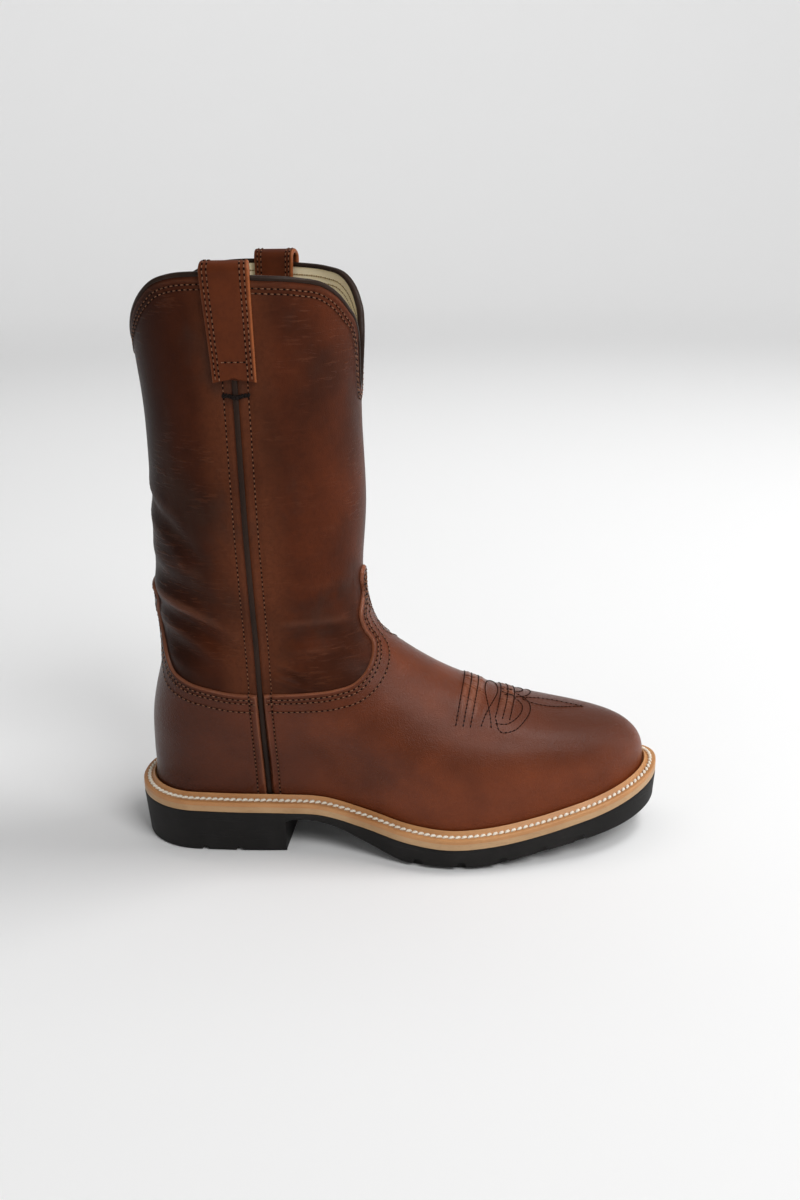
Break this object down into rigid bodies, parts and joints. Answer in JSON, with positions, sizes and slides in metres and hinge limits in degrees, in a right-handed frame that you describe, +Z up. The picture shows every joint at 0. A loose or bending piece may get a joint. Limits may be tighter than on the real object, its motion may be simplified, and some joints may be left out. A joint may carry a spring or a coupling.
{
  "type": "western work boot",
  "caption": "Right-foot pull-on western work boot with a tall scalloped leather shaft, side pull straps, stitched tan welt and midsole, and a lugged black rubber sole with a low heel.",
  "frame": {"origin": "on the floor plane, at the middle of the overall length and width", "axes": "+X towards the toe, +Y towards the inner (medial) side of the foot, +Z up; the heel and the ball rest on z = 0"},
  "size_m": [0.305, 0.1175, 0.331],
  "materials": {
    "rubber": "black moulded rubber, matt",
    "midsole_leather": "tan edge-finished leather",
    "welt_leather": "orange-tan leather, stitched",
    "insole_leather": "natural leather, matt",
    "shaft_leather": "dark brown oiled leather, semi-gloss",
    "vamp_leather": "reddish brown oiled leather, semi-gloss",
    "trim_leather": "dark grey-brown piping leather",
    "strap_leather": "reddish brown doubled leather"
  },
  "bodies": {
    "root": {"outsole": "rubber", "midsole": "midsole_leather", "welt": "welt_leather", "insole": "insole_leather", "upper": "shaft_leather", "vamp": "vamp_leather", "counter": "vamp_leather", "piping-outer": "trim_leather", "piping-inner": "trim_leather", "collar-binding": "trim_leather", "pull-strap-outer": "strap_leather", "pull-strap-inner": "strap_leather"}
  },
  "joints": []
}
